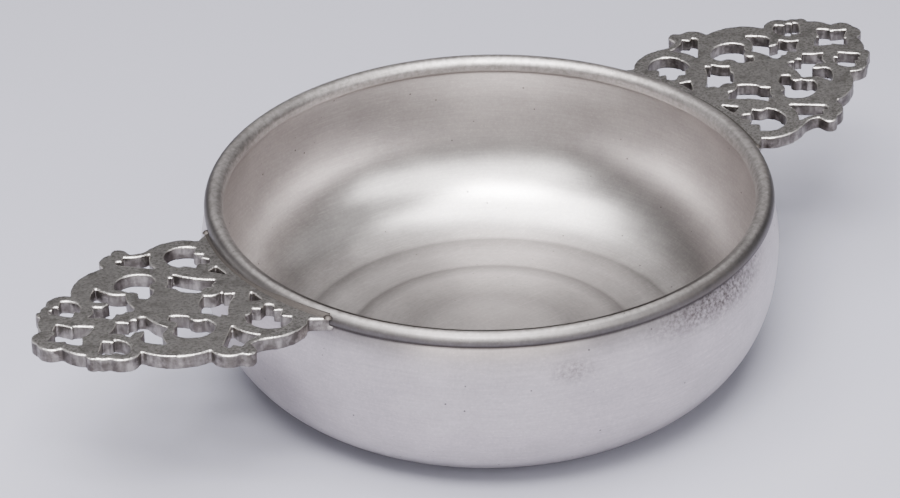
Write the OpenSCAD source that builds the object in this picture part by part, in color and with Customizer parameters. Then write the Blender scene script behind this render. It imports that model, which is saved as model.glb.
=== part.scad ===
// Pewter porringer: a low bellied bowl whose lip carries an applied band, the two
// making one half-round bead, and two pierced, flat cast handles soldered to it on
// opposite sides. Millimetres, +Z up. The origin is the centre of the base, on the
// surface the bowl stands on; the handles lie along X.

/* [Bowl] */
// Across the outside of the rim band.
rim_diameter = 140; // [110:1:180]
// From the table to the top of the rim.
bowl_height = 48.5; // [40:0.5:62]
// How far the belly swells past the rim band, measured on the radius.
belly_swell = 1.4; // [0.5:0.1:4]
// How far the widest part of the belly lies under the top of the rim.
belly_depth = 15; // [10:0.5:20]
// Fullness of the belly's lower curve: 2 is an ellipse, more is squarer.
belly_fullness = 2.35; // [2:0.05:3]
// Thickness of the bowl's wall.
wall = 1.6; // [1.2:0.1:2.5]
// How far the upright neck inside the lip runs on below the band.
neck_drop = 0.3; // [0.1:0.1:1]
// How far the cove between the neck and the belly is hollowed.
cove_bow = 0.5; // [0.1:0.1:0.9]

/* [Floor] */
// Thickness of the metal under the lowest part of the floor.
floor_thickness = 1.6; // [1.2:0.1:3]
// Radius of the line where the wall meets the channel round the floor.
channel_radius = 50; // [48:0.5:54]
// How far that line lies above the lowest part of the channel.
channel_slope = 0.9; // [0.4:0.1:1.5]
// How far the channel is dished between its two lines.
channel_dish = 0.15; // [0.05:0.05:0.3]
// Radius of the line where the raised middle of the floor begins.
boss_radius = 37.5; // [28:0.5:39]
// How high the middle of the floor is raised.
boss_rise = 0.7; // [0.4:0.1:3]
// Radius of the level top of the raised middle.
boss_top_radius = 20; // [10:0.5:26]
// Width of the flat ring that the bowl stands on, round the hollow under the raised middle.
base_width = 3.5; // [1.5:0.5:5]

/* [Rim band] */
// How far the band stands out from the lip of the bowl.
band_width = 3; // [2:0.1:3.4]
// Height of the band.
band_height = 3.2; // [3:0.1:4.5]
// How far the band stands out over the shoulder of the bowl below it.
band_overhang = 0.8; // [0.3:0.1:1]
// Rounding of the band's lower outer edge.
band_round = 0.35; // [0.1:0.05:0.5]

/* [Handles] */
// From the rim band to the tip of a handle.
handle_length = 55; // [45:1:65]
// Thickness of the cast plate.
handle_thickness = 3.4; // [2.4:0.1:4.5]
// How far the top of the left plate lies under the top of the rim, at the rim.
left_drop = 2.1; // [1.5:0.05:2.4]
// The same for the right plate.
right_drop = 1.55; // [1.4:0.05:2.4]
// How far the plate rises towards its tip, degrees.
handle_rise = 3.9; // [0:0.1:6]
// How far each handle sits behind the straight line through the bowl, degrees.
handle_swing = 1.3; // [0:0.1:3]
// Lean of the left handle: its front edge is soldered on a little high, degrees.
left_lean = 3; // [0:0.1:3.5]

/* [Solder] */
// Size of the solder run between the rim band and the top of a handle.
solder_size = 0.8; // [0.5:0.1:1]
// Half the angle of the rim that a solder run covers, degrees.
solder_half_angle = 22.5; // [18:0.5:23]
// Radius of the round drop at each end of a run.
drop_radius = 1.3; // [1:0.1:1.8]
// How far the drop's middle is sunk under the top of the plate, which flattens it.
drop_sunk = 0.6; // [0.3:0.1:0.9]

/* [Hidden] */
rim_radius = rim_diameter / 2;
lip_radius = rim_radius - band_width;
belly_radius = rim_radius + belly_swell;
belly_height = bowl_height - belly_depth;
foot_radius = boss_radius + base_width;
shoulder_top = bowl_height - band_height;
shoulder_edge = rim_radius - band_overhang;
shoulder_rise = shoulder_top - belly_height;
shoulder_angle = 2 * atan((belly_radius - shoulder_edge) / shoulder_rise);
shoulder_curve = shoulder_rise / sin(shoulder_angle);
left_turn = 180 - handle_swing;
arc_step = 10;
turned_facets = 180;
// The bead is half round over the lip and the band together.
bead_radius = (band_width + wall) / 2;
bead_middle = rim_radius - bead_radius;
bead_spring = bowl_height - bead_radius;
// Where the seam between lip and band comes out on the bead, measured from its outside.
seam_angle = acos((lip_radius - bead_middle) / bead_radius);
// Bow of a quarter circle of radius 1.
quarter_bow = 1 - cos(45);
pewter = [0.62, 0.61, 0.60];
bright = [0.74, 0.73, 0.72];
grey = [0.49, 0.48, 0.47];

// Points from corner a to corner b, without b. A corner is [x, y, bow], where bow is
// how far the edge to the next corner swells to the right of the way it runs.
function bowed(a, b) =
    let (run = [b[0] - a[0], b[1] - a[1]], chord = norm(run), sweep = 4 * atan(2 * a[2] / chord))
    a[2] == 0 ? [[a[0], a[1]]] :
    let (radius = chord / 2 / sin(sweep / 2), side = [run[1], -run[0]] / chord,
         centre = [a[0], a[1]] + run / 2 - side * radius * cos(sweep / 2),
         arm = [a[0], a[1]] - centre, steps = max(2, ceil(abs(sweep) / arc_step)))
    [for (i = [0 : steps - 1]) let (t = sweep * i / steps)
        centre + [arm[0] * cos(t) - arm[1] * sin(t), arm[0] * sin(t) + arm[1] * cos(t)]];

// A whole outline from its corners; an open one ends at its last corner.
function outline(c) = [for (i = [0 : len(c) - 1]) each bowed(c[i], c[(i + 1) % len(c)])];
function half_outline(c) =
    concat([for (i = [0 : len(c) - 2]) each bowed(c[i], c[i + 1])],
           [[c[len(c) - 1][0], c[len(c) - 1][1]]]);
function mirrored(p) = [for (i = [len(p) - 2 : -1 : 1]) [p[i][0], -p[i][1]]];

// The shoulder's arc up from the widest part, on a given belly radius.
function shoulder(radius, share) =
    [for (i = [0 : 8]) let (t = shoulder_angle * share * i / 8)
        [radius - shoulder_curve * (1 - cos(t)), belly_height + shoulder_curve * sin(t)]];

// The belly's lower curve, from the widest part (0 degrees) to the base (90 degrees).
function lower_curve(reach, drop, to) =
    [for (i = [0 : 24]) let (t = to * i / 24)
        [foot_radius + reach * pow(cos(t), 2 / belly_fullness),
         belly_height - drop * pow(sin(t), 2 / belly_fullness)]];

function reversed(p) = [for (i = [len(p) - 1 : -1 : 0]) p[i]];

// Outside of the bowl from the base up to the band, as [radius, height].
function outside() =
    concat(reversed(lower_curve(belly_radius - foot_radius, belly_height, 90)),
           [for (i = [1 : 8]) shoulder(belly_radius, 1)[i]]);

// The raised middle of the floor from its foot to its level top.
function boss(height) =
    [for (i = [0 : 10]) let (t = i / 10)
        [boss_radius + (boss_top_radius - boss_radius) * t, height + boss_rise * sin(90 * t)]];

// The half-round top of the bead between two angles, measured from the outside.
function bead(from, to) =
    [for (i = [0 : 12]) let (t = from + (to - from) * i / 12)
        [bead_middle + bead_radius * cos(t), bead_spring + bead_radius * sin(t)]];

// Inside of the bowl from the neck down to the middle of the floor.
function inside() =
    let (neck = lip_radius - wall, reach = belly_radius - wall - foot_radius,
         stop = acos(pow((channel_radius - foot_radius) / reach, belly_fullness / 2)),
         drop = belly_height - floor_thickness - channel_slope, upper = shoulder(belly_radius - wall, 0.8),
         lower = lower_curve(reach, drop / pow(sin(stop), 2 / belly_fullness), stop))
    concat(bowed([neck, shoulder_top - neck_drop, -cove_bow], upper[8]), reversed(upper),
           [for (i = [1 : 23]) lower[i]],
           bowed([each lower[24], -channel_dish], [boss_radius, floor_thickness]),
           boss(floor_thickness), [[0, floor_thickness + boss_rise]]);

module bowl_section() {
    polygon(concat([[0, boss_rise]], reversed(boss(0)), outside(), [[lip_radius, shoulder_top]],
                   bead(seam_angle, 180), inside()));
}

module bowl() {
    color(pewter) rotate_extrude($fn = turned_facets) bowl_section();
}

// Section of the band: square to the lip and the shoulder, with the bead's round outside.
module band_section() {
    corner = [rim_radius - band_round, shoulder_top, band_round * quarter_bow];
    polygon(concat([[lip_radius, shoulder_top]],
                   bowed(corner, [rim_radius, shoulder_top + band_round]),
                   [[rim_radius, shoulder_top + band_round]], bead(0, seam_angle)));
}

module rim_band() {
    color(bright) rotate_extrude($fn = turned_facets) band_section();
}

// Everything inside the bowl's outer surface, to fit the handles and solder to it.
module bowl_envelope() {
    rotate_extrude($fn = turned_facets) {
        polygon(concat([[0, 0]], outside(),
                       [[lip_radius, shoulder_top], [lip_radius, bowl_height + band_height],
                        [0, bowl_height + band_height]]));
        band_section();
    }
}

// The plate's outer edge from the rim to the tip, one half. x is measured from the
// rim band, y from the handle's middle line, on a plate of the length drawn here.
drawn_length = 55;
half_edge = [
    [-9, 28.8, 0], [-5.4, 27.2, 0], [-1.6, 24.6, 0.2], [-0.2, 26, -1.5], [10.8, 27.2, 0.6],
    [15.7, 27.4, 0], [15.7, 29.2, -1.8], [19.5, 29.9, -1.9], [24.4, 24.6, -2.6],
    [37.6, 16.3, -2.2], [44.8, 15.1, -0.4], [47.1, 13.6, -1], [48.4, 10.9, -0.7],
    [51.4, 4.9, -1.7], [drawn_length, 0, 0]];

// Half of the four-lobed opening near the tip.
half_tip_hole = [
    [40.5, 0, -0.2], [44.3, 2.8, 0], [44.8, 2.3, -0.1], [46.9, 6, -0.2], [49.2, 3.3, 0],
    [48.9, 2.5, -0.1], [52.4, 0, 0]];

// The openings that come in mirrored pairs.
pair_holes = [
    // small corner by the rim
    [[2, 4.8, 0], [5, 9.3, 0], [2, 10.6, 0]],
    // scroll with its buds
    [[1.3, 14.5, 0.3], [2.8, 12.7, 0], [4.8, 14, -0.1], [6.6, 12.4, -0.9], [9.5, 14.8, 0.5],
     [10.45, 19.2, 3.9], [0.9, 21.3, 0], [2.5, 20, -0.3], [2.4, 18.6, 0], [0.9, 17.3, 0],
     [2.7, 16.3, -0.1]],
    // three-cornered opening outside the scroll
    [[14.3, 16.9, 0], [21, 24.2, 0.2], [20.3, 26.1, 0], [19, 25.2, 0], [17.8, 27.2, -1.1],
     [10.7, 25.3, -1.3]],
    // opening beside the foot of the shield
    [[7.6, 1.3, -1.2], [12, 0.8, 0.3], [15.6, 4.5, 0], [15.6, 5.8, 0], [17.4, 7.8, -0.6],
     [14.4, 12.3, 0], [13.6, 10.9, 0], [12.7, 12.7, -0.8], [5.5, 4.2, 0], [7.9, 2.9, 0]],
    // crescent over the shield with its two buds
    [[23.7, 5.3, 0.2], [25.3, 7.4, -1.4], [25.7, 10.4, 0], [26.4, 12.1, 0], [27.6, 12.9, 4.1],
     [17.2, 14.6, 0.2], [17.9, 11.3, -1.3], [20.3, 8, 0.35]],
    // large opening round the leaf
    [[28.5, 3.2, 1.1], [30.9, 2.7, 0.9], [33.1, 3, 0.1], [35.3, 1, -0.6], [40.3, 4.9, -1.2],
     [36.3, 9, 0], [34.3, 7.3, 0], [31.9, 8, -0.2], [34.4, 10.4, 0.2], [34.6, 12.6, 0.25],
     [30.9, 16.8, -0.2], [29.9, 12.4, -0.35], [26.8, 9.9, -0.5]],
    // round opening by the beads
    [[42.3, 7.1, 0], [45.6, 11.3, 0.3], [45, 12.8, 0], [44.1, 12.2, 1], [42.5, 13.1, 0],
     [40.9, 15.4, 1], [38.2, 11, 0.3], [39.9, 7.9, 0], [40.5, 9.1, 0]]];

module handle_plan() {
    edge = half_outline(half_edge);
    tip = half_outline(half_tip_hole);
    scale(handle_length / drawn_length) difference() {
        polygon(concat([[half_edge[0][0], -half_edge[0][1]]], edge, mirrored(edge)));
        polygon(concat(tip, mirrored(tip)));
        for (half = [0, 1], hole = pair_holes) mirror([0, half]) polygon(outline(hole));
    }
}

// Puts a piece drawn with its top at height 0, x from the rim, where a handle sits.
module at_rim(turn, drop, lean) {
    rotate([0, 0, turn]) translate([rim_radius, 0, bowl_height - drop])
        rotate([lean, -handle_rise, 0]) children();
}

module handle(turn, drop, lean) {
    color(grey) difference() {
        at_rim(turn, drop, lean)
            translate([0, 0, -handle_thickness]) linear_extrude(handle_thickness) handle_plan();
        bowl_envelope();
    }
}

module handle_left() { handle(left_turn, left_drop, left_lean); }
module handle_right() { handle(handle_swing, right_drop, 0); }

// Solder run in the angle between the band and the plate, with a drop at each end.
module solder(turn, drop, lean) {
    color(bright) difference() {
        at_rim(turn, drop, lean) translate([-rim_radius, 0, 0]) {
            rotate([0, 0, -solder_half_angle])
                rotate_extrude(angle = 2 * solder_half_angle, $fn = turned_facets)
                    polygon([[rim_radius - bead_radius, 0], [rim_radius + solder_size * 0.8, 0],
                             [rim_radius + solder_size * 0.1, solder_size * 0.3],
                             [rim_radius - solder_size * 0.6, solder_size],
                             [rim_radius - bead_radius, solder_size]]);
            for (side = [-1, 1]) rotate([0, 0, side * solder_half_angle]) translate([rim_radius, 0, 0])
                intersection() {
                    translate([0, 0, -drop_sunk]) sphere(drop_radius, $fn = 32);
                    translate([-drop_radius, -drop_radius, 0]) cube(2 * drop_radius);
                }
        }
        bowl_envelope();
    }
}

module solder_left() { solder(left_turn, left_drop, left_lean); }
module solder_right() { solder(handle_swing, right_drop, 0); }

bowl();
rim_band();
handle_left();
handle_right();
solder_left();
solder_right();
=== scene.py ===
import math
import bmesh
import bpy
from mathutils import Matrix, Vector


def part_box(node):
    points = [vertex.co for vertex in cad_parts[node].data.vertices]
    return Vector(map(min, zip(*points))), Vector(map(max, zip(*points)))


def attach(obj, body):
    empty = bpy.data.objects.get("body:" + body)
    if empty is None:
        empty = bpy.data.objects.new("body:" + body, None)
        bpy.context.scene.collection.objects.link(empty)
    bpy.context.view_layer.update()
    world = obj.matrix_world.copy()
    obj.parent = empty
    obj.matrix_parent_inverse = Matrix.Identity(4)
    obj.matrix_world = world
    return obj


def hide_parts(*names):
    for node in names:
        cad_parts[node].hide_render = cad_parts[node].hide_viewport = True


# A two-handled pewter porringer on pale paper. The bowl and its rim band are turned here, each
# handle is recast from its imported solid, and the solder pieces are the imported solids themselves.
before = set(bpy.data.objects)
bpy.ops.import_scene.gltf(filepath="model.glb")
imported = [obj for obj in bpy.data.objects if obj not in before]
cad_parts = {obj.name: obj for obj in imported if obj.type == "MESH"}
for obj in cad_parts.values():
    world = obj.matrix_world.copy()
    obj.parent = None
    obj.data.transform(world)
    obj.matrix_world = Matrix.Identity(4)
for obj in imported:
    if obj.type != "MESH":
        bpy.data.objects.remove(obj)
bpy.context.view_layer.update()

MM = 0.001

# Sizes of the porringer in millimetres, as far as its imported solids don't give them.
WALL = 1.6
RIM_RADIUS = 70
BELLY_RADIUS = 71.4
BELLY_DEPTH = 15
FOOT_RADIUS = 41
NECK_DROP = 0.3
COVE_BOW = 0.5
FLOOR_THICKNESS = 1.6
CHANNEL_RADIUS = 50
CHANNEL_SLOPE = 0.9
CHANNEL_DISH = 0.15
BOSS_RADIUS = 37.5
BOSS_TOP_RADIUS = 20
BOSS_RISE = 0.7
BAND_WIDTH = 3
BAND_OVERHANG = 0.8
BAND_ROUND = 0.35

# How full the belly's curve is, where 2 is an ellipse, and how far up the shoulder's arc the cove
# under the lip starts inside.
BELLY_FULLNESS = 2.35
COVE_START = 0.8

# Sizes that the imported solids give, and what follows from them.
band_low, band_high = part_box("rim_band")
RIM_TOP = band_high[2] / MM
SHOULDER_TOP = band_low[2] / MM
BELLY_HEIGHT = RIM_TOP - BELLY_DEPTH
LIP_RADIUS = RIM_RADIUS - BAND_WIDTH
BEAD_RADIUS = (BAND_WIDTH + WALL) / 2
SEAM_ANGLE = math.degrees(math.acos((LIP_RADIUS - RIM_RADIUS + BEAD_RADIUS) / BEAD_RADIUS))

# How finely the pieces are drawn, with lengths in millimetres and angles in degrees.
TURNED_SEGMENTS = 360
WELD_DISTANCE = 0.01
SHARP_ANGLE = 40
HANDLE_VOXEL = 0.275
HANDLE_SMOOTHING = 4

# Sizes in the turned finish, in millimetres, and the share of its cells that hold a pit. Real
# tool rings lie 0.1 to 0.2 mm apart, real scratches are under 0.1 mm wide and the cast grain is
# as fine. None of them would show, so all three are drawn coarser.
RING_SPACING = 0.5
RING_LENGTH = 9
SCRATCH_WIDTH = 0.417
SCRATCH_LENGTH = 14.3
CAST_GRAIN = 0.8
RUBBED_PATCH = 11
WAVE_WIDTH = 25
PIT_SPACING = 3.2
PIT_RADIUS = 0.3
PITTED_SHARE = 0.35
TARNISH_GRAIN = 0.9
RIM_MOTTLE = 1.3

# Where that finish changes, in millimetres: up from the seam, in from the rim's edge, out from
# the lip, to either side of the seam, below the seam inside, and out from the edge of the floor's
# channel. The lip's painted shade lies round one azimuth, in degrees, on the camera's side.
RIM_STARTS, RIM_FULL = -0.2, 0.3
POLISH_AND_HIGHLIGHT_STARTS, POLISH_AND_HIGHLIGHT_FULL = 0.9, 1.9
LIP_PAINTED_SHADE_FULL, LIP_PAINTED_SHADE_ENDS = 0.4, 0.8
SEAM_GRIME_AND_SHADE_FULL, SEAM_GRIME_AND_SHADE_ENDS = 0.3, 0.8
NECK_GRIME_AND_SHADE_FULL, NECK_GRIME_AND_SHADE_ENDS = 0.4, 3.5
SCOURED_FULL, SCOURED_ENDS = -4, 8
LIP_PAINTED_SHADE_AZIMUTH = -37

# Sizes in the sand-cast finish and the solder, in millimetres. Moulding sand is 0.1 to 0.3 mm
# coarse and a file's teeth are as far apart, so both are drawn coarser as well.
SAND_GRAIN = 0.769
STROKE_WIDTH = 1.25
STROKE_LENGTH = 5
FACE_GRIME_PATCH = 3.5
WALL_GRIME_AND_SHADE_PATCH = 3
SOLDER_LUMP = 0.833

# Depths of each pattern's relief, in millimetres.
WAVE_DEPTH = 0.05
RING_DEPTH = 0.0002
CAST_GRAIN_DEPTH = 0.002
SCRATCH_DEPTH = 0.0004
PIT_DEPTH = 0.03
SAND_DEPTH = 0.14
STROKE_DEPTH = 0.03
LUMP_DEPTH = 0.06

# Colours of the finishes, some with painted light and shade in them, as sRGB hex codes.
# The inside's base colour is darker than the outside's: painted shade on the same pewter.
PEWTER_OUTSIDE_LIT = "bbb4b5"
PEWTER_INSIDE_SHADED = "a8a3a2"
BAND_PEWTER = "a39f9f"
BAND_FACE = "5f5c5c"
# The band's lighter top: partly polish, partly a painted highlight.
BAND_TOP_POLISH_AND_HIGHLIGHT = "9a9594"
BAND_MOTTLE = "55504e"
# Painted shade: a dark line along the lip's inner edge.
LIP_PAINTED_SHADE = "2e2a28"
TARNISH = "645d5a"
# Grime and painted shade in the seam under the band and in the neck under the lip.
SEAM_GRIME_AND_SHADE = "35302e"
NECK_GRIME_AND_SHADE = "6b6460"
PIT = "5d5957"
CAST_HOLLOW = "605d5b"
CAST_FACE = "a8a4a3"
CAST_GRIME = "55514f"
# Rubbed edges, partly a painted highlight.
RUBBED_EDGE_AND_HIGHLIGHT = "b0acaa"
FILED_DARK = "6f6b68"
FILED_BRIGHT = "96918e"
# Grime on the piercing walls, partly painted shade.
FILED_GRIME_AND_SHADE = "57524f"
SOLDER = "433f3d"
PAPER = "7d7c87"

# The photograph's viewpoint, from the middle of the rim: angles in degrees, lengths in mm.
VIEW_AZIMUTH = -36.74
VIEW_ELEVATION = 29.80
VIEW_DISTANCE = 692.3
VIEW_ROLL = 0.96
VIEW_TILT = 1.352
VIEW_PAN = -0.808
VIEW_LENS = 112.7
SENSOR_WIDTH = 36

# How far the paper reaches each way from under the bowl, in metres.
PAPER_REACH = 2.5

# Sockets of a colour Mix node: the share laid over, the colour under it and the colour over it.
SHARE, UNDER, OVER = 0, 6, 7


def srgb(code):
    """A linear colour with alpha from an sRGB hex code."""
    parts = [int(code[i:i + 2], 16) / 255 for i in (0, 2, 4)]
    return [p / 12.92 if p <= 0.04045 else ((p + 0.055) / 1.055) ** 2.4 for p in parts] + [1]


def direction(azimuth, elevation):
    """The unit vector from the bowl towards an azimuth and an elevation in degrees."""
    turn, lift = math.radians(azimuth), math.radians(elevation)
    return Vector((math.sin(turn) * math.cos(lift), -math.cos(turn) * math.cos(lift),
                   math.sin(lift)))


def new_object(name, data):
    """A new object in the scene."""
    made = bpy.data.objects.new(name, data)
    bpy.context.scene.collection.objects.link(made)
    return made


def add(tree, kind, inputs=None, **settings):
    """Adds a node with its settings and links.

    inputs maps a socket to a value, an output, or a node for its first output in use.
    """
    made = tree.nodes.new(kind)
    for name, value in settings.items():
        setattr(made, name, value)
    for name, value in (inputs or {}).items():
        if isinstance(value, bpy.types.Node):
            value = next(output for output in value.outputs if output.enabled)
        if isinstance(value, bpy.types.NodeSocket):
            tree.links.new(value, made.inputs[name])
        else:
            made.inputs[name].default_value = value
    return made


def new_material(name):
    """An empty material and its tree."""
    material = bpy.data.materials.new(name)
    material.use_nodes = True
    material.node_tree.nodes.clear()
    return material, material.node_tree


def close_material(tree, finish):
    """Wires a shader with this finish to the material's output."""
    shader = add(tree, "ShaderNodeBsdfPrincipled", finish)
    add(tree, "ShaderNodeOutputMaterial", {"Surface": shader})


def millimetres(tree):
    """Object coordinates in millimetres."""
    point = add(tree, "ShaderNodeTexCoord").outputs["Object"]
    return add(tree, "ShaderNodeVectorMath", {0: point, "Scale": 1 / MM}, operation="SCALE")


def from_axis(tree, point):
    """How far a point is from the bowl's axis, and the level direction that way."""
    level = add(tree, "ShaderNodeVectorMath", {0: point, 1: (1, 1, 0)}, operation="MULTIPLY")
    radius = add(tree, "ShaderNodeVectorMath", {0: level}, operation="LENGTH")
    away = add(tree, "ShaderNodeVectorMath", {0: level}, operation="NORMALIZE")
    return radius, away


def cloudy(tree, point, size, low, high):
    """Soft patches about size mm across, from 0 below low to 1 above high."""
    patches = add(tree, "ShaderNodeTexNoise", {"Vector": point, "Scale": 1 / size, "Detail": 5,
                  "Roughness": 0.6})
    return add(tree, "ShaderNodeMapRange", {"Value": patches, "From Min": low, "From Max": high})


def spot(tree, point, centre, reach):
    """1 at a place on the bowl, in mm, down to 0 at its reach."""
    offset = add(tree, "ShaderNodeVectorMath", {0: point, 1: centre}, operation="SUBTRACT")
    shape = add(tree, "ShaderNodeVectorMath", {0: offset, 1: reach}, operation="DIVIDE")
    distance = add(tree, "ShaderNodeVectorMath", {0: shape}, operation="LENGTH")
    return add(tree, "ShaderNodeMapRange", {"Value": distance, "From Min": 1, "From Max": 0.3})


def tool_rings(tree, radius, away, height):
    """Rings from the turning tool, spaced along the section; each fades out along its way."""
    along = add(tree, "ShaderNodeMath", {0: radius, 1: height})
    lift = add(tree, "ShaderNodeCombineXYZ", {"Z": along})
    turn = RIM_RADIUS * RING_SPACING / RING_LENGTH
    place = add(tree, "ShaderNodeVectorMath", {0: away, 1: (turn, turn, turn), 2: lift},
                operation="MULTIPLY_ADD")
    return add(tree, "ShaderNodeTexNoise", {"Vector": place, "Scale": 1 / RING_SPACING,
               "Detail": 2.5, "Roughness": 0.6})


def scratches(tree, point, angle, rarity):
    """Fine straight scratches, 0 to 1, that run at an angle in degrees; rarer as rarity nears 1."""
    turned = add(tree, "ShaderNodeMapping", {"Vector": point,
                 "Scale": (1 / SCRATCH_LENGTH, 1 / SCRATCH_WIDTH, 1 / SCRATCH_WIDTH),
                 "Rotation": (0, 0, math.radians(angle))})
    lines = add(tree, "ShaderNodeTexNoise", {"Vector": turned, "Scale": 1, "Detail": 2,
                "Roughness": 0.55})
    return add(tree, "ShaderNodeMapRange", {"Value": lines, "From Min": rarity,
               "From Max": rarity + 0.07})


def pits(tree, point):
    """Small round casting pits, 0 to 1, one in each of a share of the cells."""
    cells = add(tree, "ShaderNodeTexVoronoi", {"Vector": point, "Scale": 1 / PIT_SPACING})
    brink = PIT_RADIUS / PIT_SPACING
    hollow = add(tree, "ShaderNodeMapRange", {"Value": cells.outputs["Distance"],
                 "From Min": brink, "From Max": brink / 2})
    chance = add(tree, "ShaderNodeSeparateXYZ", {0: cells.outputs["Color"]})
    chosen = add(tree, "ShaderNodeMath", {0: chance, 1: PITTED_SHARE}, operation="LESS_THAN")
    return add(tree, "ShaderNodeMath", {0: hollow, 1: chosen}, operation="MULTIPLY")


def painted_floor_shade(tree, radius):
    """How light painted shade leaves the inside at each distance from the axis: dimmer over the
    floor, darkest just inside each turned line.
    """
    share = add(tree, "ShaderNodeMath", {0: radius, 1: LIP_RADIUS}, operation="DIVIDE")
    ramp = add(tree, "ShaderNodeValToRGB", {0: share})
    # Each stop is a distance from the axis in mm, and how light the painted shade leaves the metal
    # there.
    stops = ((0, 0.5), (BOSS_TOP_RADIUS - 4, 0.48), (BOSS_TOP_RADIUS + 2, 0.36),
             (BOSS_RADIUS - 5, 0.5), (BOSS_RADIUS - 0.6, 0.27), (BOSS_RADIUS + 0.6, 0.48),
             (CHANNEL_RADIUS - 6, 0.58), (CHANNEL_RADIUS - 0.6, 0.38), (CHANNEL_RADIUS + 0.6, 0.65),
             (CHANNEL_RADIUS + SCOURED_ENDS, 1))
    for number, (place, lightness) in enumerate(stops):
        at = place / LIP_RADIUS
        stop = ramp.color_ramp.elements[0] if number == 0 else ramp.color_ramp.elements.new(at)
        stop.position = at
        stop.color = (lightness, lightness, lightness, 1)
    return ramp


def rim_colour(tree, point, radius, away):
    """The rim's matte face and its lighter top, partly polish and partly a painted highlight,
    mottled, with a painted dark line of shade along its inner edge on the camera's side.
    """
    # Lighter towards the inside of the top: partly polish, partly a painted highlight.
    top = add(tree, "ShaderNodeMapRange", {"Value": radius,
              "From Min": RIM_RADIUS - POLISH_AND_HIGHLIGHT_STARTS, "From Max": RIM_RADIUS - POLISH_AND_HIGHLIGHT_FULL})
    lip = add(tree, "ShaderNodeMix", {SHARE: top, UNDER: srgb(BAND_FACE), OVER: srgb(BAND_TOP_POLISH_AND_HIGHLIGHT)},
              data_type="RGBA")
    # A painted dark line of shade along the lip's inner edge, on the side toward the camera.
    side = add(tree, "ShaderNodeVectorMath", {0: away, 1: direction(LIP_PAINTED_SHADE_AZIMUTH, 0)},
               operation="DOT_PRODUCT")
    part = add(tree, "ShaderNodeMapRange", {"Value": side, "From Min": 0.4, "From Max": 0.85})
    edge = add(tree, "ShaderNodeMapRange", {"Value": radius,
               "From Min": LIP_RADIUS + LIP_PAINTED_SHADE_ENDS, "From Max": LIP_RADIUS + LIP_PAINTED_SHADE_FULL})
    lip_shade_share = add(tree, "ShaderNodeMath", {0: edge, 1: part}, operation="MULTIPLY")
    lip = add(tree, "ShaderNodeMix", {SHARE: lip_shade_share, UNDER: lip, OVER: srgb(LIP_PAINTED_SHADE)},
              data_type="RGBA")
    mottled = cloudy(tree, point, RIM_MOTTLE, 0.4, 0.62)
    mottled = add(tree, "ShaderNodeMath", {0: mottled, 1: 0.4}, operation="MULTIPLY")
    return add(tree, "ShaderNodeMix", {SHARE: mottled, UNDER: lip, OVER: srgb(BAND_MOTTLE)},
               data_type="RGBA")


def wear_shade(tree, rings, grain, worn, lines):
    """How light rings, cast grain, rubbing and scratches leave the metal, as a factor near 1."""
    grooves = add(tree, "ShaderNodeMapRange", {"Value": rings, "From Min": 0.3, "From Max": 0.7,
                  "To Min": 0.93, "To Max": 1.06})
    grained = add(tree, "ShaderNodeMapRange", {"Value": grain, "To Min": 0.92, "To Max": 1.07})
    rubbed = add(tree, "ShaderNodeMapRange", {"Value": worn, "To Min": 0.95, "To Max": 1.05})
    shade = add(tree, "ShaderNodeMath", {0: grooves, 1: grained}, operation="MULTIPLY")
    shade = add(tree, "ShaderNodeMath", {0: shade, 1: rubbed}, operation="MULTIPLY")
    return add(tree, "ShaderNodeMath", {0: lines, 1: 0.12, 2: shade}, operation="MULTIPLY_ADD")


def tarnish_patches(tree, point, outer):
    """Mottled tarnish outside: a long patch under the rim at the right, a small one in front."""
    patchy = cloudy(tree, point, TARNISH_GRAIN, 0.32, 0.64)
    right = spot(tree, point, centre=(16, -68.5, 43), reach=(30, 16, 7))
    front = spot(tree, point, centre=(-26, -66, 38), reach=(7, 7, 4))
    front = add(tree, "ShaderNodeMath", {0: front, 1: 0.6}, operation="MULTIPLY")
    both = add(tree, "ShaderNodeMath", {0: right, 1: front}, operation="MAXIMUM")
    tarnish = add(tree, "ShaderNodeMath", {0: patchy, 1: both}, operation="MULTIPLY")
    return add(tree, "ShaderNodeMath", {0: tarnish, 1: outer}, operation="MULTIPLY")


def grimed_and_shaded(tree, metal, height, outer, inner, rim):
    """The metal darkened in the seam under the band outside and in the neck under the lip inside:
    grime, and painted shade under the band's overhang and in the cove.
    """
    # Darker in the seam under the band: grime and painted shade under the band's overhang.
    above = add(tree, "ShaderNodeMath", {0: height, 1: SHOULDER_TOP}, operation="SUBTRACT")
    off = add(tree, "ShaderNodeMath", {0: above}, operation="ABSOLUTE")
    seam = add(tree, "ShaderNodeMapRange", {"Value": off, "From Min": SEAM_GRIME_AND_SHADE_ENDS,
               "From Max": SEAM_GRIME_AND_SHADE_FULL, "To Max": 0.9})
    seam = add(tree, "ShaderNodeMath", {0: seam, 1: outer}, operation="MULTIPLY")
    metal = add(tree, "ShaderNodeMix", {SHARE: seam, UNDER: metal, OVER: srgb(SEAM_GRIME_AND_SHADE)},
                data_type="RGBA")
    # Darker in the neck under the lip inside: grime and painted shade in the cove.
    neck = add(tree, "ShaderNodeMapRange", {"Value": above, "From Min": -NECK_GRIME_AND_SHADE_ENDS,
               "From Max": -NECK_GRIME_AND_SHADE_FULL, "To Max": 0.5})
    neck = add(tree, "ShaderNodeMath", {0: neck, 1: inner}, operation="MULTIPLY")
    below = add(tree, "ShaderNodeMath", {0: 1, 1: rim}, operation="SUBTRACT")
    neck = add(tree, "ShaderNodeMath", {0: neck, 1: below}, operation="MULTIPLY")
    return add(tree, "ShaderNodeMix", {SHARE: neck, UNDER: metal, OVER: srgb(NECK_GRIME_AND_SHADE)},
               data_type="RGBA")


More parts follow.
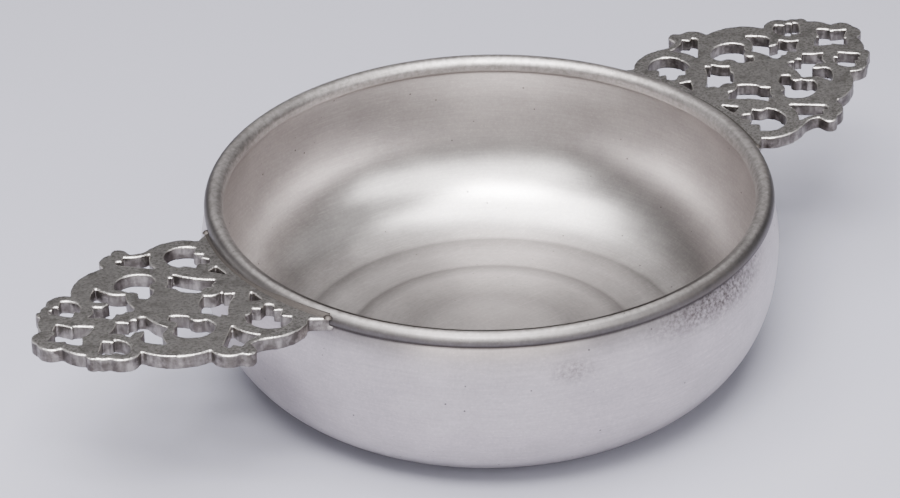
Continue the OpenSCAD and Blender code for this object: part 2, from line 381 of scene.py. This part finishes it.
def turned_roughness(tree, radius, inner, rim, rings, worn, tarnish):
    """Satin, a little rougher where rubbed, and more so on tarnish, on the rim and on the floor."""
    rough = add(tree, "ShaderNodeMapRange", {"Value": rings, "From Min": 0.3, "From Max": 0.7,
                "To Min": 0.285, "To Max": 0.3})
    scoured = add(tree, "ShaderNodeMapRange", {"Value": radius,
                  "From Min": CHANNEL_RADIUS + SCOURED_ENDS,
                  "From Max": CHANNEL_RADIUS + SCOURED_FULL, "To Max": 0.2})
    for place, added in ((worn, 0.015), (tarnish, 0.12), (rim, 0.16), (scoured, inner)):
        rough = add(tree, "ShaderNodeMath", {0: place, 1: added, 2: rough},
                    operation="MULTIPLY_ADD")
    return rough


def turned_relief(tree, point, rings, grain, lines, holes):
    """Hand-rubbed waves, then rings and grain, then the scratches and pits sunk into them."""
    waves = add(tree, "ShaderNodeTexNoise", {"Vector": point, "Scale": 1 / WAVE_WIDTH, "Detail": 1})
    relief = add(tree, "ShaderNodeBump", {"Height": waves, "Distance": WAVE_DEPTH * MM})
    for height, depth, sunk in ((rings, RING_DEPTH, False), (grain, CAST_GRAIN_DEPTH, False),
                                (lines, SCRATCH_DEPTH, True), (holes, PIT_DEPTH, True)):
        relief = add(tree, "ShaderNodeBump", {"Height": height, "Distance": depth * MM,
                     "Normal": relief}, invert=sunk)
    return relief


def turned_pewter(name, outside, inside):
    """Pewter that was cast, turned on a lathe and rubbed down.

    Turning leaves it satin with faint rings, so lights spread softly over it, and the casting's
    pits stay. Handling has worn the rim matte. The outside takes a lighter base colour than the
    inside, which is painted shade. Use has scratched the inside both ways and scoured the floor,
    and painted shade darkens the floor, deepest just inside each turned line.
    """
    material, tree = new_material(name)
    point = millimetres(tree)
    radius, away = from_axis(tree, point)
    height = add(tree, "ShaderNodeSeparateXYZ", {0: point}).outputs["Z"]
    normal = add(tree, "ShaderNodeTexCoord").outputs["Normal"]
    facing = add(tree, "ShaderNodeVectorMath", {0: normal, 1: away}, operation="DOT_PRODUCT")
    outer = add(tree, "ShaderNodeMapRange", {"Value": facing, "From Min": 0.1, "From Max": 0.35})
    inner = add(tree, "ShaderNodeMath", {0: 1, 1: outer}, operation="SUBTRACT")
    rim = add(tree, "ShaderNodeMapRange", {"Value": height,
              "From Min": SHOULDER_TOP + RIM_STARTS, "From Max": SHOULDER_TOP + RIM_FULL})

    # Patterns that show in more than one of colour, roughness and relief.
    rings = tool_rings(tree, radius, away, height)
    grain = cloudy(tree, point, CAST_GRAIN, 0.3, 0.7)
    worn = cloudy(tree, point, RUBBED_PATCH, 0.4, 0.62)
    one_way = scratches(tree, point, angle=38, rarity=0.6)
    other_way = scratches(tree, point, angle=-47, rarity=0.63)
    lines = add(tree, "ShaderNodeMath", {0: one_way, 1: other_way}, operation="MAXIMUM")
    tarnish = tarnish_patches(tree, point, outer)
    holes = pits(tree, point)

    # Painted shade: the inside takes a darker base colour than the outside.
    metal = add(tree, "ShaderNodeMix", {SHARE: outer, UNDER: srgb(inside), OVER: srgb(outside)},
                data_type="RGBA")
    lip = rim_colour(tree, point, radius, away)
    metal = add(tree, "ShaderNodeMix", {SHARE: rim, UNDER: metal, OVER: lip}, data_type="RGBA")
    # Painted shade darkens the floor inside, deepest just inside each turned line.
    floor_shade = add(tree, "ShaderNodeMix", {SHARE: inner, UNDER: (1, 1, 1, 1),
                  OVER: painted_floor_shade(tree, radius)}, data_type="RGBA")
    metal = add(tree, "ShaderNodeVectorMath", {0: metal, 1: floor_shade}, operation="MULTIPLY")
    shade = wear_shade(tree, rings, grain, worn, lines)
    metal = add(tree, "ShaderNodeVectorMath", {0: metal, "Scale": shade}, operation="SCALE")
    metal = add(tree, "ShaderNodeMix", {SHARE: tarnish, UNDER: metal, OVER: srgb(TARNISH)},
                data_type="RGBA")
    metal = grimed_and_shaded(tree, metal, height, outer, inner, rim)
    metal = add(tree, "ShaderNodeMix", {SHARE: holes, UNDER: metal, OVER: srgb(PIT)},
                data_type="RGBA")
    rough = turned_roughness(tree, radius, inner, rim, rings, worn, tarnish)
    relief = turned_relief(tree, point, rings, grain, lines, holes)
    close_material(tree, {"Base Color": metal, "Metallic": 1, "Roughness": rough, "Normal": relief})
    return material


def cast_face(tree, point, mottle):
    """The scraped face: light where the scraper met it, dark in the hollows and under grime."""
    face = add(tree, "ShaderNodeMix", {SHARE: mottle, UNDER: srgb(CAST_HOLLOW),
               OVER: srgb(CAST_FACE)}, data_type="RGBA")
    grime = cloudy(tree, point, FACE_GRIME_PATCH, 0.5, 0.68)
    grime = add(tree, "ShaderNodeMath", {0: grime, 1: 0.6}, operation="MULTIPLY")
    return add(tree, "ShaderNodeMix", {SHARE: grime, UNDER: face, OVER: srgb(CAST_GRIME)},
               data_type="RGBA")


def filed_and_shaded_wall(tree, point, strokes):
    """The walls of the piercings: streaked by the file, with patches of grime between its strokes
    that also stand in for painted shade.
    """
    streak = add(tree, "ShaderNodeMapRange", {"Value": strokes, "From Min": 0.38,
                 "From Max": 0.62})
    filed = add(tree, "ShaderNodeMix", {SHARE: streak, UNDER: srgb(FILED_DARK),
                OVER: srgb(FILED_BRIGHT)}, data_type="RGBA")
    # Grime patches that also stand in for painted shade in the piercings.
    grime = cloudy(tree, point, WALL_GRIME_AND_SHADE_PATCH, 0.42, 0.6)
    return add(tree, "ShaderNodeMix", {SHARE: grime, UNDER: filed, OVER: srgb(FILED_GRIME_AND_SHADE)},
               data_type="RGBA")


def cast_pewter():
    """Pewter that was cast in sand, scraped flat on top and filed in its piercings.

    The sand leaves the face leathery, so it scatters light and looks dark. The file runs up and
    down the walls, and the rounded edges are lighter: partly rubbed by handling, partly a painted
    highlight.
    """
    material, tree = new_material("cast_pewter")
    point = millimetres(tree)
    grain = add(tree, "ShaderNodeTexNoise", {"Vector": point, "Scale": 1 / SAND_GRAIN,
                "Detail": 4, "Roughness": 0.62})
    mottle = add(tree, "ShaderNodeMapRange", {"Value": grain, "From Min": 0.36, "From Max": 0.62})
    drawn = add(tree, "ShaderNodeMapping", {"Vector": point,
                "Scale": (1 / STROKE_WIDTH, 1 / STROKE_WIDTH, 1 / STROKE_LENGTH)})
    strokes = add(tree, "ShaderNodeTexNoise", {"Vector": drawn, "Scale": 1, "Detail": 3})
    normal = add(tree, "ShaderNodeTexCoord").outputs["Normal"]
    upright = add(tree, "ShaderNodeSeparateXYZ", {0: normal}).outputs["Z"]
    # Lighter on the rounded edges: partly wear, partly a painted highlight.
    edge = add(tree, "ShaderNodeMapRange", {"Value": upright, "From Min": 0.95,
               "From Max": 0.75})
    wall = add(tree, "ShaderNodeMapRange", {"Value": upright, "From Min": 0.5, "From Max": 0.15})
    metal = add(tree, "ShaderNodeMix", {SHARE: edge, UNDER: cast_face(tree, point, mottle),
                OVER: srgb(RUBBED_EDGE_AND_HIGHLIGHT)}, data_type="RGBA")
    metal = add(tree, "ShaderNodeMix", {SHARE: wall, UNDER: metal,
                OVER: filed_and_shaded_wall(tree, point, strokes)}, data_type="RGBA")
    rough = add(tree, "ShaderNodeMapRange", {"Value": mottle, "To Min": 0.46, "To Max": 0.33})
    relief = add(tree, "ShaderNodeBump", {"Height": grain, "Distance": SAND_DEPTH * MM})
    relief = add(tree, "ShaderNodeBump", {"Height": strokes, "Distance": STROKE_DEPTH * MM,
                 "Normal": relief})
    close_material(tree, {"Base Color": metal, "Metallic": 1, "Roughness": rough, "Normal": relief})
    return material


def tin_solder():
    """Soft tin solder, run along the joint with an iron: dull grey, dark with grime, and lumpy."""
    material, tree = new_material("tin_solder")
    lumps = add(tree, "ShaderNodeTexNoise", {"Vector": millimetres(tree),
                "Scale": 1 / SOLDER_LUMP, "Detail": 2})
    relief = add(tree, "ShaderNodeBump", {"Height": lumps, "Distance": LUMP_DEPTH * MM})
    close_material(tree, {"Base Color": srgb(SOLDER), "Metallic": 1, "Roughness": 0.6,
                   "Normal": relief})
    return material


def studio_paper():
    """Matte pale grey paper, pressed smooth, so that it shows soft shadows and no reflection."""
    material, tree = new_material("studio_paper")
    close_material(tree, {"Base Color": srgb(PAPER), "Roughness": 0.85})
    return material


def shoulder(radius, share, steps=16):
    """The shoulder's arc up from the widest part, as points (radius, height)."""
    rise = SHOULDER_TOP - BELLY_HEIGHT
    inset = BELLY_RADIUS - (RIM_RADIUS - BAND_OVERHANG)
    angle = 2 * math.atan(inset / rise)
    curve = rise / math.sin(angle)
    turns = [angle * share * i / steps for i in range(steps + 1)]
    return [(radius - curve * (1 - math.cos(t)), BELLY_HEIGHT + curve * math.sin(t)) for t in turns]


def lower_curve(reach, drop, end, steps=64):
    """The belly's lower curve, a superellipse, from the widest part towards the base."""
    power = 2 / BELLY_FULLNESS
    turns = [end * i / steps for i in range(steps + 1)]
    return [(FOOT_RADIUS + reach * max(0, math.cos(t)) ** power,
             BELLY_HEIGHT - drop * math.sin(t) ** power) for t in turns]


def boss(height, steps=20):
    """The raised middle of the floor from its foot to its level top."""
    return [(BOSS_RADIUS + (BOSS_TOP_RADIUS - BOSS_RADIUS) * i / steps,
             height + BOSS_RISE * math.sin(math.pi / 2 * i / steps)) for i in range(steps + 1)]


def arc(centre, radius, start, end, steps=6):
    """Points on an arc, angles in degrees."""
    turns = [math.radians(start + (end - start) * i / steps) for i in range(steps + 1)]
    return [(centre[0] + radius * math.cos(t), centre[1] + radius * math.sin(t)) for t in turns]


def bead(start, end):
    """The half-round top that lip and band make together, from its outside."""
    middle = (RIM_RADIUS - BEAD_RADIUS, RIM_TOP - BEAD_RADIUS)
    return arc(middle, BEAD_RADIUS, start, end, steps=14)


def bowed(start, end, bow, steps=8):
    """A shallow curve whose middle stands off its chord by bow, to the right of the run."""
    run = (end[0] - start[0], end[1] - start[1])
    chord = math.hypot(*run)
    shares = [i / steps for i in range(steps + 1)]
    return [(start[0] + run[0] * s + run[1] / chord * 4 * bow * s * (1 - s),
             start[1] + run[1] * s - run[0] / chord * 4 * bow * s * (1 - s)) for s in shares]


def bowl_section():
    """The bowl's wall and floor in section, from the axis out and back in."""
    reach = BELLY_RADIUS - WALL - FOOT_RADIUS
    end = math.acos(((CHANNEL_RADIUS - FOOT_RADIUS) / reach) ** (BELLY_FULLNESS / 2))
    drop = (BELLY_HEIGHT - FLOOR_THICKNESS - CHANNEL_SLOPE) / math.sin(end) ** (2 / BELLY_FULLNESS)
    under = [(0, BOSS_RISE)] + boss(0)[::-1]
    outside = lower_curve(BELLY_RADIUS - FOOT_RADIUS, BELLY_HEIGHT, math.pi / 2)[::-1]
    outside += shoulder(BELLY_RADIUS, 1)[1:]
    lip = [(LIP_RADIUS, SHOULDER_TOP)] + bead(SEAM_ANGLE, 180)
    upper = shoulder(BELLY_RADIUS - WALL, COVE_START)[::-1]
    neck = bowed((LIP_RADIUS - WALL, SHOULDER_TOP - NECK_DROP), upper[0], -COVE_BOW)
    lower = lower_curve(reach, drop, end)[1:]
    channel = bowed(lower[-1], (BOSS_RADIUS, FLOOR_THICKNESS), -CHANNEL_DISH)[1:-1]
    floor = boss(FLOOR_THICKNESS) + [(0, FLOOR_THICKNESS + BOSS_RISE)]
    return under + outside + lip + neck + upper[1:] + lower + channel + floor


def band_section():
    """The rim band in section: square to lip and shoulder, with the bead's round outside."""
    foot = arc((RIM_RADIUS - BAND_ROUND, SHOULDER_TOP + BAND_ROUND), BAND_ROUND, -90, 0)
    return [(LIP_RADIUS, SHOULDER_TOP)] + foot + bead(0, SEAM_ANGLE)


def turning_tree():
    """Geometry nodes that turn a closed section round the axis into a solid."""
    tree = bpy.data.node_groups.new("turned_piece", "GeometryNodeTree")
    for name, kind in (("Geometry", "Geometry"), ("Path Radius", "Float"), ("Segments", "Int"),
                       ("Material", "Material")):
        tree.interface.new_socket(name, in_out="INPUT", socket_type="NodeSocket" + kind)
    tree.interface.new_socket("Geometry", in_out="OUTPUT", socket_type="NodeSocketGeometry")
    given = add(tree, "NodeGroupInput").outputs
    path = add(tree, "GeometryNodeCurvePrimitiveCircle",
               {"Resolution": given["Segments"], "Radius": given["Path Radius"]}, mode="RADIUS")
    section = add(tree, "GeometryNodeMeshToCurve", {"Mesh": given["Geometry"]})
    swept = add(tree, "GeometryNodeCurveToMesh", {"Curve": path, "Profile Curve": section})
    closed = add(tree, "GeometryNodeMergeByDistance", {"Geometry": swept,
                 "Distance": WELD_DISTANCE * MM})
    smooth = add(tree, "GeometryNodeSetShadeSmooth", {"Geometry": closed})
    real = add(tree, "GeometryNodeRealizeInstances", {"Geometry": smooth})
    coated = add(tree, "GeometryNodeSetMaterial", {"Geometry": real,
                 "Material": given["Material"]})
    add(tree, "NodeGroupOutput", {0: coated})
    return tree


def plain_mesh(source, name):
    """A plain mesh object from an object with live modifiers; the source is removed."""
    graph = bpy.context.evaluated_depsgraph_get()
    mesh = bpy.data.meshes.new_from_object(source.evaluated_get(graph))
    bpy.data.objects.remove(source)
    mesh.name = name
    return new_object(name, mesh)


def point_outwards(piece):
    """Turns every face of a closed piece outwards."""
    solid = bmesh.new()
    solid.from_mesh(piece.data)
    bmesh.ops.recalc_face_normals(solid, faces=solid.faces)
    solid.to_mesh(piece.data)
    solid.free()


def turned_piece(name, section, tree, material):
    """A section of (radius, height) points in mm, turned round the Z axis."""
    # On the circle that it follows, a section's X points away from the axis and its Y down.
    drawn = [((r - RIM_RADIUS) * MM, -z * MM, 0) for r, z in section]
    ring = [(i, (i + 1) % len(drawn)) for i in range(len(drawn))]
    mesh = bpy.data.meshes.new(name)
    mesh.from_pydata(drawn, ring, [])
    holder = new_object(name + "_section", mesh)
    turning = holder.modifiers.new("turning", "NODES")
    turning.node_group = tree
    inputs = {"Path Radius": RIM_RADIUS * MM, "Segments": TURNED_SEGMENTS, "Material": material}
    for item in tree.interface.items_tree:
        if item.in_out == "INPUT" and item.name in inputs:
            turning[item.identifier] = inputs[item.name]
    piece = plain_mesh(holder, name)
    point_outwards(piece)
    piece.data.set_sharp_from_angle(angle=math.radians(SHARP_ANGLE))
    return piece


def handle_plate(name, node, material):
    """The pierced casting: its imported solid, recast in a fine even mesh with its edges softened."""
    holder = new_object(name + "_sharp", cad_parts[node].data.copy())
    recast = holder.modifiers.new("recast", "REMESH")
    recast.mode = "VOXEL"
    recast.voxel_size = HANDLE_VOXEL * MM
    soften = holder.modifiers.new("soften", "SMOOTH")
    soften.factor = 0.5
    soften.iterations = HANDLE_SMOOTHING
    piece = plain_mesh(holder, name)
    piece.data.shade_smooth()
    piece.data.materials.clear()
    piece.data.materials.append(material)
    return piece


def dress(piece, slot, *nodes):
    """Hangs a piece on the root body and hides the imported solids that it stands for."""
    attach(piece, "root")
    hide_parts(*nodes)


def make_floor(material):
    """A wide sheet of paper under the bowl."""
    turns = ((-1, -1), (1, -1), (1, 1), (-1, 1))
    corners = [(x * PAPER_REACH, y * PAPER_REACH, 0) for x, y in turns]
    mesh = bpy.data.meshes.new("floor")
    mesh.from_pydata(corners, [], [(0, 1, 2, 3)])
    mesh.materials.append(material)
    new_object("floor", mesh)


def soft_light(name, right, up, distance, width, height, radiance, colour="ffffff"):
    """A rectangular softbox that faces the bowl.

    Its place is given in degrees to the right of the camera and up, and its size in metres.
    """
    light = bpy.data.lights.new(name, "AREA")
    light.shape = "RECTANGLE"
    light.size = width
    light.size_y = height
    light.energy = radiance * math.pi * width * height
    light.color = srgb(colour)[:3]
    away = direction(VIEW_AZIMUTH + right, up)
    lamp = new_object(name, light)
    lamp.location = away * distance
    lamp.rotation_euler = away.to_track_quat("Z", "Y").to_euler()


def make_lights():
    """Two softboxes overhead for the bright patch inside, and large dim sheets all round.

    Each line gives degrees right and up, distance, width, height and radiance.
    """
    soft_light("overhead_softbox", -30, 76, 0.95, 0.85, 0.85, 16)
    soft_light("softbox_core", -9, 57, 0.95, 0.46, 0.24, 62)
    soft_light("front_softbox", 12, 34, 1.2, 2.3, 0.55, 7.5)
    soft_light("front_sheet", 0, 8, 1.3, 1.4, 0.3, 1.8, colour="fff6ee")
    soft_light("upper_sheet", 18, 49, 1.1, 0.9, 0.22, 3)
    soft_light("right_sheet", 97, 42, 1.3, 0.9, 0.7, 0.6)
    soft_light("left_sheet", -105, 8, 1.3, 0.9, 0.35, 2.6)
    soft_light("back_sheet", 180, 27, 1.6, 2.2, 1.0, 0.2)


def make_camera():
    """The photograph's view: looking at the middle of the rim, then tilted, panned and rolled."""
    back = direction(VIEW_AZIMUTH, VIEW_ELEVATION)
    right = Vector((0, 0, 1)).cross(back).normalized()
    look = Matrix((right, back.cross(right), back))
    aim = (Matrix.Rotation(math.radians(VIEW_ROLL), 3, "Z")
           @ Matrix.Rotation(math.radians(VIEW_PAN), 3, "Y")
           @ Matrix.Rotation(math.radians(VIEW_TILT), 3, "X") @ look).transposed()
    data = bpy.data.cameras.new("camera")
    data.lens = VIEW_LENS
    data.sensor_width = SENSOR_WIDTH
    data.clip_start = 0.01
    camera = new_object("camera", data)
    place = back * VIEW_DISTANCE * MM + Vector((0, 0, RIM_TOP * MM))
    camera.matrix_world = Matrix.Translation(place) @ aim.to_4x4()
    bpy.context.scene.camera = camera


def make_world():
    """A trace of light from all round, as the lights' spill gives in a dark studio."""
    world = bpy.data.worlds.new("studio")
    world.use_nodes = True
    tree = world.node_tree
    tree.nodes.clear()
    glow = add(tree, "ShaderNodeBackground", {"Color": srgb("fffdfb"), "Strength": 0.02})
    add(tree, "ShaderNodeOutputWorld", {"Surface": glow})
    bpy.context.scene.world = world


make_camera()
make_world()
make_lights()
make_floor(studio_paper())

bowl_metal = turned_pewter("turned_pewter", PEWTER_OUTSIDE_LIT, PEWTER_INSIDE_SHADED)
band_metal = turned_pewter("band_pewter", BAND_PEWTER, BAND_PEWTER)
handle_metal = cast_pewter()
solder_metal = tin_solder()

lathe = turning_tree()
bowl = turned_piece("bowl_turned", bowl_section(), lathe, bowl_metal)
dress(bowl, "bowl_pewter", "bowl")
band = turned_piece("band_turned", band_section(), lathe, band_metal)
dress(band, "band_pewter", "rim_band")
for side in ("left", "right"):
    plate = handle_plate("plate_" + side, "handle_" + side, handle_metal)
    dress(plate, "cast_pewter", "handle_" + side)
    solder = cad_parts["solder_" + side].data
    solder.materials.clear()
    solder.materials.append(solder_metal)
